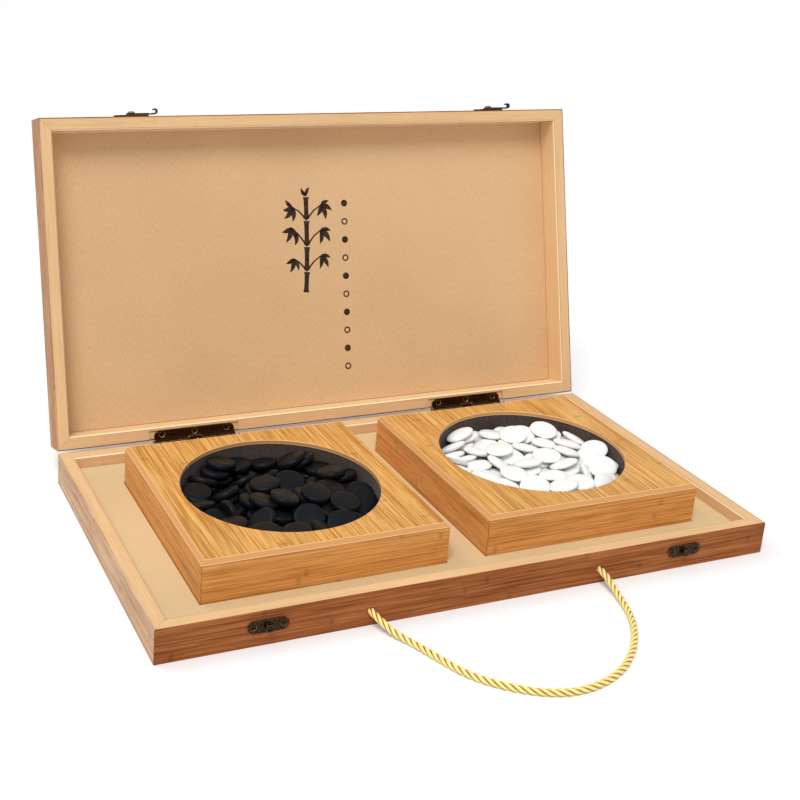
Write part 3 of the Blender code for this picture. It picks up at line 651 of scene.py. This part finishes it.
def easing_group():
    """A node group that joins a mesh's faces and shades its curved parts smoothly."""
    group = bpy.data.node_groups.new("joined_and_smooth", "GeometryNodeTree")
    group.interface.new_socket("Geometry", in_out="INPUT", socket_type="NodeSocketGeometry")
    group.interface.new_socket("Geometry", in_out="OUTPUT", socket_type="NodeSocketGeometry")
    add, link = group.nodes.new, group.links.new
    start, end = add("NodeGroupInput"), add("NodeGroupOutput")
    merge = add("GeometryNodeMergeByDistance")
    merge.inputs["Distance"].default_value = 0.004 * MM
    plain = add("GeometryNodeRemoveAttribute")
    plain.inputs["Name"].default_value = "custom_normal"
    rounded = add("GeometryNodeSetShadeSmooth")
    rounded.domain = "FACE"
    crisp = add("GeometryNodeSetShadeSmooth")
    crisp.domain = "EDGE"
    crisp.inputs["Shade Smooth"].default_value = False
    angle = add("GeometryNodeInputMeshEdgeAngle")
    steep = add("FunctionNodeCompare")
    steep.data_type, steep.operation = "FLOAT", "GREATER_THAN"
    steep.inputs["B"].default_value = math.radians(30)
    link(start.outputs[0], merge.inputs["Geometry"])
    link(merge.outputs[0], plain.inputs["Geometry"])
    link(plain.outputs[0], rounded.inputs["Geometry"])
    link(rounded.outputs[0], crisp.inputs["Geometry"])
    link(angle.outputs[0], steep.inputs["A"])
    link(steep.outputs[0], crisp.inputs["Selection"])
    link(crisp.outputs[0], end.inputs[0])
    return group


EASING = easing_group()


def dress(name, look, edge=0.0, edge_look=None):
    """Gives a CAD node its material and eases its edges by a fraction of a millimetre."""
    piece = nodes[name]
    piece.data.materials.clear()
    piece.data.materials.append(look)
    piece.modifiers.new("joined", "NODES").node_group = EASING
    if edge:
        bevel = piece.modifiers.new("eased_edges", "BEVEL")
        bevel.width = edge
        bevel.segments = 2
        bevel.limit_method = "ANGLE"
        bevel.angle_limit = math.radians(30)
        bevel.harden_normals = True
        if edge_look:
            piece.data.materials.append(edge_look)
            bevel.material = 1


SIDES = (("front", "X"), ("right", "Y"), ("back", "X"), ("left", "Y"))
for seed, (side, along) in enumerate(SIDES):
    tray_tones, lid_tones = (FADED_BROWN, MUTED_BROWN) if side == "left" else (BROWN, BROWN)
    dress(f"tray_{side}_wall", case_bamboo(f"tray_{side}_bamboo", along, False, seed + 1, tray_tones))
    dress(f"lid_{side}_wall", case_bamboo(f"lid_{side}_bamboo", along, True, seed + 11, lid_tones))
    for bowl, shift in (("black", 21), ("white", 31)):
        look = honey_bamboo(f"{bowl}_bowl_{side}_bamboo", along, seed + shift)
        dress(f"{bowl}_bowl_{side}_wall", look, 0.25 * MM)
dress("tray_bottom_panel", plain_bamboo("bottom_bamboo", "X", False, 41, PALE), 0.2 * MM)
dress("lid_top_board", plain_bamboo("lid_top_bamboo", "X", True, 42, BROWN, contrast=1.0), 0.2 * MM)
dress("tray_liner", velour("liner_velour"), 0.25 * MM)
dress("lid_lining_panel", silk("lining_silk"), 0.15 * MM)
lining_felt = felt("bowl_felt")
for seed, bowl in enumerate(("black", "white")):
    panel_look = honey_bamboo(f"{bowl}_panel_bamboo", "Y", seed + 51, panel=True)
    dress(f"{bowl}_bowl_top_panel", panel_look, 0.15 * MM)
    base_look = plain_bamboo(f"{bowl}_base_bamboo", "Y", False, seed + 61, HONEY)
    dress(f"{bowl}_bowl_base_board", base_look, 0.2 * MM)
    dress(f"{bowl}_bowl_felt_lining", lining_felt)
metal, bright_wear_and_highlight = bronze("browned_brass"), bronze("worn_highlit_brass", worn_and_highlit=True)
HARDWARE = ("hinge_", "latch_")
for name in nodes:
    if name.startswith(HARDWARE):
        if "screw" in name:
            dress(name, metal, 0.08 * MM)
        else:
            # The eased edges take the bright brass: wear and a painted highlight together.
            dress(name, metal, (0.5 if name.startswith("latch_") else 0.22) * MM, bright_wear_and_highlight)
for side in ("left", "right"):
    dress(f"rope_knot_{side}", gold_yarn(f"knot_{side}_yarn", laid=False))
rope.data.materials.append(gold_yarn("rope_yarn"))


# ---------------------------------------------------------------- glue in the case's mitres

GLUE_MM = 0.29  # just under the gap between two boards


def mitre_glue(name, section, place, look, body):
    """The four thin glue lines in a frame's mitres. section is the boards' section as points of depth and
    height in millimetres, and place moves a point from the closed case to where it is."""
    points, faces = [], []
    for side_x in (-1, 1):
        for side_y in (-1, 1):
            first, count = len(points), len(section)
            for offset in (-GLUE_MM / 2, GLUE_MM / 2):
                for depth, height in section:
                    points.append(place((
                        side_x * (CASE_HALF_LENGTH_MM - depth + offset / math.sqrt(2)) * MM,
                        side_y * (CASE_HALF_DEPTH_MM - depth - offset / math.sqrt(2)) * MM, height * MM,
                    )))
            near = list(range(first, first + count))
            far = [i + count for i in near]
            shell = [near, far[::-1]] + [
                [near[i], far[i], far[(i + 1) % count], near[(i + 1) % count]] for i in range(count)
            ]
            faces += shell if side_x * side_y < 0 else [face[::-1] for face in shell]
    new_object(name, mesh_of(name, points, faces, smooth=False), look, body)


def frame_section(rim, height, base=0.0, down=False):
    """A case board's section, shrunk by a hair, with its rim at the top, or at the bottom if down."""
    hair = 0.15
    shape = [
        (hair, 0), (rim - 0.02, 0), (rim - 0.02, height - BEVEL_MM), (rim - 0.6 * BEVEL_MM, height - 0.02),
        (0.5 + hair, height - 0.02), (hair, height - 0.5 - hair),
    ]
    return [(depth, base + (height - up if down else up)) for depth, up in shape]


mitre_glue(
    "tray_mitre_glue", frame_section(TRAY_RIM_MM, TRAY_TOP_MM), Vector,
    case_bamboo("tray_glue_bamboo", "X", False, 71), "tray",
)
mitre_glue(
    "lid_mitre_glue", frame_section(LID_RIM_MM, LID_DEPTH_MM, LID_BASE_MM, down=True), from_closed,
    case_bamboo("lid_glue_bamboo", "X", True, 72), "lid",
)


# ---------------------------------------------------------------- stones

GROWN = 100  # the stones settle at this many times their size, which the solver handles better
SETTLE_FRAMES = 70
STONE_RADIUS = 11.3 * MM
BLACK_HALF, WHITE_HALF = 2.8 * MM, 3.05 * MM
BLACK_SECTION, WHITE_SECTION = (18.0, 2.6, 0.17), (2.5, 2.0, 0.0)
STONE_ROWS = (0, 0.3, 0.6, 0.8, 0.9, 0.96, 0.99)
CUP_RADIUS = 71.7 * MM
CUP_FLOOR = 8.25 * MM
CUP_SIDES = 48
# The cup's wall runs far up while the stones drop, so that none falls outside.
CUP_RISE = (CUP_FLOOR, 0.02, 0.04, 0.06, 0.09, 0.14, 0.3)
STONES_BELOW = 45.4 * MM  # just under the closed lid's lining
STONE_SIDES, PROXY_SIDES = 36, 14
PROXY_ROWS = (0, 0.75, 0.95)
DROP_PITCH = 0.0235  # between two stones of one layer
DROP_HEIGHT, DROP_RISE = 0.021, 0.0195  # the lowest layer, and from one layer to the next
DROP_TWIST = 0.7  # each layer is turned by this many radians more
DROP_TILT, DROP_SPIN = 0.75, 6.28  # the most a stone starts tilted and spun, in radians
PEAK_REACH = 0.034


def lens_rows(radius, half, section, shares):
    """A stone's section as rows of radius and height. section is how full its rim is, how flat its faces are,
    and what share of its height its faces fall by towards the rim. shares are the rows' shares of the radius,
    from 0 at the middle outwards; the rim itself is added."""
    fullness, flatness, fall = section
    face = [
        (radius * out, half * (1 - out ** fullness) ** (1 / flatness) * (1 - fall * out * out))
        for out in shares
    ]
    return [(r, -z) for r, z in face] + [(radius, 0.0)] + face[::-1]


def lens_mesh(rows, around):
    """Points and faces of a stone."""
    points, rings = [], []
    for radius, height in rows:
        if radius < 1e-6:
            rings.append([len(points)])
            points.append((0, 0, height))
            continue
        rings.append(list(range(len(points), len(points) + around)))
        points += [
            (radius * math.cos(2 * math.pi * i / around), radius * math.sin(2 * math.pi * i / around), height)
            for i in range(around)
        ]
    faces = []
    for low, high in zip(rings, rings[1:]):
        for i in range(around):
            j = (i + 1) % around
            corners = (low[i % len(low)], low[j % len(low)], high[j % len(high)], high[i % len(high)])
            faces.append(list(dict.fromkeys(corners)))
    return points, faces


def add_body(piece, kind, shape):
    bpy.context.scene.collection.objects.link(piece)
    with bpy.context.temp_override(object=piece, active_object=piece, selected_objects=[piece]):
        bpy.ops.rigidbody.object_add(type=kind)
    body = piece.rigid_body
    body.collision_shape = shape
    body.use_margin = True
    body.collision_margin = 0.005
    body.friction = 0.5
    body.restitution = 0.0
    return body


def cup_mesh(centre):
    around = CUP_SIDES
    bm = bmesh.new()
    rings = [
        [
            bm.verts.new((
                centre.x * GROWN + CUP_RADIUS * GROWN * math.cos(2 * math.pi * i / around),
                centre.y * GROWN + CUP_RADIUS * GROWN * math.sin(2 * math.pi * i / around), height * GROWN,
            )) for i in range(around)
        ] for height in CUP_RISE
    ]
    middle = bm.verts.new((centre.x * GROWN, centre.y * GROWN, CUP_FLOOR * GROWN))
    for i in range(around):
        j = (i + 1) % around
        bm.faces.new((middle, rings[0][i], rings[0][j]))
        for low, high in zip(rings, rings[1:]):
            bm.faces.new((low[i], low[j], high[j], high[i]))
    mesh = bpy.data.meshes.new("cup")
    bm.to_mesh(mesh)
    bm.free()
    return mesh


def settle(heaps):
    """Drops each heap's stones into its cup, and gives back where they come to rest. A heap is its cup's
    centre, its stones' count, half thickness and section, how many of the last ones drop round a peak, the
    peak, and a seed."""
    scene = bpy.context.scene
    bpy.ops.rigidbody.world_add()
    world = scene.rigidbody_world
    world.substeps_per_frame = 8
    world.solver_iterations = 15
    world.point_cache.frame_start, world.point_cache.frame_end = 1, SETTLE_FRAMES
    scene.gravity = (0, 0, -150)
    spare, stones = [], []
    for number, (centre, count, half, section, heaped, peak, seed) in enumerate(heaps):
        dice = random.Random(seed)
        cup = bpy.data.objects.new(f"cup_{number}", cup_mesh(centre))
        add_body(cup, "PASSIVE", "MESH")
        spare.append(cup)
        rows = lens_rows(STONE_RADIUS * GROWN, half * GROWN, section, PROXY_ROWS)
        points, faces = lens_mesh(rows, PROXY_SIDES)
        proxy = mesh_of("stone_proxy", points, faces)
        steps = [n * DROP_PITCH for n in range(-3, 4)]
        reach = CUP_RADIUS - STONE_RADIUS - 1.5 * MM
        placed, layer = 0, 0
        while placed < count:
            turn = layer * DROP_TWIST
            spots = [
                (x * math.cos(turn) - y * math.sin(turn), x * math.sin(turn) + y * math.cos(turn))
                for x in steps for y in steps if math.hypot(x, y) < reach
            ]
            dice.shuffle(spots)
            if placed >= count - heaped:
                spots = [s for s in spots if math.hypot(s[0] - peak[0], s[1] - peak[1]) < PEAK_REACH]
            for x, y in spots:
                if placed < count:
                    stone = bpy.data.objects.new(f"stone_{number}_{placed}", proxy)
                    height = DROP_HEIGHT + DROP_RISE * layer
                    stone.location = (centre.x + x) * GROWN, (centre.y + y) * GROWN, height * GROWN
                    tilts = dice.uniform(-DROP_TILT, DROP_TILT), dice.uniform(-DROP_TILT, DROP_TILT)
                    stone.rotation_euler = *tilts, dice.uniform(0, DROP_SPIN)
                    body = add_body(stone, "ACTIVE", "CONVEX_HULL")
                    body.mass = 0.01
                    body.linear_damping, body.angular_damping = 0.1, 0.3
                    stones.append((number, stone))
                    placed += 1
            layer += 1
    for number in range(1, SETTLE_FRAMES + 1):
        scene.frame_set(number)
    depsgraph = bpy.context.evaluated_depsgraph_get()
    rests = [[] for _ in heaps]
    for number, stone in stones:
        matrix = stone.evaluated_get(depsgraph).matrix_world.copy()
        matrix.translation = matrix.translation / GROWN
        rests[number].append(matrix)
    bpy.ops.rigidbody.world_remove()
    for piece in [stone for _, stone in stones] + spare:
        bpy.data.objects.remove(piece, do_unlink=True)
    scene.frame_set(1)
    return rests


def build_heap(name, rests, half, section, node, body, look, seed):
    """All of a heap's stones in one piece, each a little different."""
    dice = random.Random(seed)
    points, faces = [], []
    for matrix in rests:
        size = dice.uniform(0.985, 1.0)
        rows = lens_rows(STONE_RADIUS * size, half * dice.uniform(0.93, 1.0), section, STONE_ROWS)
        own_points, own_faces = lens_mesh(rows, STONE_SIDES)
        moved = [matrix @ Vector(p) for p in own_points]
        if max(p.z for p in moved) > STONES_BELOW:
            continue
        first = len(points)
        points += moved
        faces += [[first + i for i in face] for face in own_faces]
    heap = new_object(name, mesh_of(name, points, faces), look, body)
    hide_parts(node)


cup_centres = {}
for bowl in ("black", "white"):
    low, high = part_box(f"{bowl}_bowl_felt_lining")
    cup_centres[bowl] = (low + high) / 2
BLACK_HEAP = (cup_centres["black"], 152, BLACK_HALF, BLACK_SECTION, 10, (-0.02, 0.03), 5)
WHITE_HEAP = (cup_centres["white"], 172, WHITE_HALF, WHITE_SECTION, 44, (0.004, 0.034), 8)
black_rests, white_rests = settle((BLACK_HEAP, WHITE_HEAP))
build_heap(
    "black_stone_heap", black_rests, BLACK_HALF, BLACK_SECTION, "black_stones", "black_bowl",
    black_slate("black_slate"), 15,
)
build_heap(
    "white_stone_heap", white_rests, WHITE_HALF, WHITE_SECTION, "white_stones", "white_bowl",
    white_shell("white_shell"), 16,
)


# ---------------------------------------------------------------- ink drawing on the lid's lining

INK_PROUD = 0.05 * MM
DOT_RADIUS_MM, DOT_HOLE_MM = 2.9, 1.7
DOT_SIDES = 24
DOTS = 10
LEAF_BEND = 0.12
LINING_Z = 46.3 * MM  # the lining's face with the lid closed


def ink_shape(bm, outline):
    """A thin raised shape from points of X and of height up the open lid, in millimetres."""
    rings = []
    for depth in (0.0, INK_PROUD):
        rings.append([bm.verts.new(from_closed((x * MM, -up * MM, LINING_Z - depth))) for x, up in outline])
    count = len(outline)
    bm.faces.new(rings[1])
    bm.faces.new(rings[0][::-1])
    for i in range(count):
        j = (i + 1) % count
        bm.faces.new((rings[0][i], rings[0][j], rings[1][j], rings[1][i]))


def circle(x, up, radius):
    """The points of a circle, in millimetres."""
    angles = (2 * math.pi * k / DOT_SIDES for k in range(DOT_SIDES))
    return [(x + radius * math.cos(a), up + radius * math.sin(a)) for a in angles]


def ink_ring(bm, x, up, outer, inner):
    """A thin raised ring as one closed shape, from its centre and radii in millimetres."""
    loops = []
    for radius, depth in ((outer, 0.0), (outer, INK_PROUD), (inner, INK_PROUD), (inner, 0.0)):
        spots = circle(x, up, radius)
        loops.append([bm.verts.new(from_closed((sx * MM, -sup * MM, LINING_Z - depth))) for sx, sup in spots])
    for here, there in zip(loops, loops[1:] + loops[:1]):
        for i in range(DOT_SIDES):
            j = (i + 1) % DOT_SIDES
            bm.faces.new((here[i], here[j], there[j], there[i]))


def brush_stroke(bm, points, widths):
    """A stroke through points, with a width at each in millimetres."""
    left, right = [], []
    for n, (x, up) in enumerate(points):
        ahead, behind = points[min(n + 1, len(points) - 1)], points[max(n - 1, 0)]
        along = Vector((ahead[0] - behind[0], ahead[1] - behind[1])).normalized()
        half = widths[n] / 2
        left.append((x - along.y * half, up + along.x * half))
        right.append((x + along.y * half, up - along.x * half))
    ink_shape(bm, left + right[::-1])


def leaf(bm, x, up, direction, length, width):
    """A bamboo leaf from its stem to its tip. direction is in degrees, with 0 to the right and 90 up."""
    turn = math.radians(direction)
    along = Vector((math.cos(turn), math.sin(turn)))
    side = Vector((-along.y, along.x))
    steps = 12
    points, widths = [], []
    for n in range(steps + 1):
        t = n / steps
        spot = Vector((x, up)) + along * length * t + side * LEAF_BEND * length * math.sin(math.pi * t * 0.9)
        points.append(tuple(spot))
        swell = math.sin(math.pi * min(1.0, t * 0.94 + 0.05)) ** 0.8
        widths.append(max(0.12, 1.25 * width * swell * (1.15 - 0.45 * t)))
    brush_stroke(bm, points, widths)


def make_sprig():
    """A sprig of bamboo: a jointed stem, twigs and leaves."""
    sprig = bmesh.new()
    joints = [(-13, -22), (-11.4, -3), (-10.4, 18), (-9.8, 40), (-9.4, 60)]
    for (x0, up0), (x1, up1) in zip(joints, joints[1:]):
        steps = 8
        points = [
            (x0 + (x1 - x0) * n / steps, up0 + 0.9 + (up1 - up0 - 1.8) * n / steps) for n in range(steps + 1)
        ]
        widths = [4.0 + 1.6 * abs(2 * n / steps - 1) ** 4 for n in range(steps + 1)]
        brush_stroke(sprig, points, widths)
    for x, up, ends in (
        (-10.4, 18, ((-24, 34), (3, 31))), (-9.8, 40, ((-22, 51), (4, 52))), (-11.4, -3, ((-23, 8), (2, 9))),
    ):
        for end in ends:
            middle = ((x + end[0]) / 2, (up + end[1]) / 2 + 1.5)
            brush_stroke(sprig, [(x, up), middle, end], [1.7, 1.3, 1.0])
    for x, up, direction, length, width in (
        (-24, 34, 200, 9, 3.2), (-24, 34, 245, 13, 3.8), (-24, 34, 285, 12, 3.4), (-20, 30, 262, 11, 3.2),
        (3, 31, 350, 9, 3.0), (3, 31, 305, 13, 3.8), (3, 31, 262, 12, 3.4),
        (-22, 51, 190, 9, 3.2), (-22, 51, 228, 12, 3.8), (-22, 51, 266, 12, 3.4), (-22, 51, 130, 9, 2.8),
        (4, 52, 20, 8, 2.8), (4, 52, 330, 11, 3.6), (4, 52, 285, 13, 3.8), (4, 52, 245, 10, 3.2),
        (-9.4, 60, 62, 8, 2.6), (-9.4, 60, 118, 8, 2.6),
        (-23, 8, 205, 8, 2.8), (-23, 8, 250, 12, 3.4), (-23, 8, 290, 11, 3.0),
        (2, 9, 345, 9, 3.0), (2, 9, 300, 12, 3.6), (2, 9, 260, 11, 3.0),
    ):
        leaf(sprig, x, up, direction, length, width)
    return sprig


def make_dots():
    """A column of go stones, black and white by turns."""
    column = bmesh.new()
    for n in range(DOTS):
        t = n / (DOTS - 1)
        x, up = 25.6 - 2.7 * t, 52.5 - 139.2 * t
        if n % 2:
            ink_ring(column, x, up, DOT_RADIUS_MM, DOT_HOLE_MM)
        else:
            ink_shape(column, circle(x, up, DOT_RADIUS_MM))
    return column


brush_ink = ink("brush_ink")
for name, bm in (("lid_ink_sprig", make_sprig()), ("lid_ink_dots", make_dots())):
    bmesh.ops.recalc_face_normals(bm, faces=bm.faces)
    mesh = bpy.data.meshes.new(name)
    bm.to_mesh(mesh)
    bm.free()
    new_object(name, mesh, brush_ink, "lid")


# ---------------------------------------------------------------- the end

bpy.context.view_layer.update()
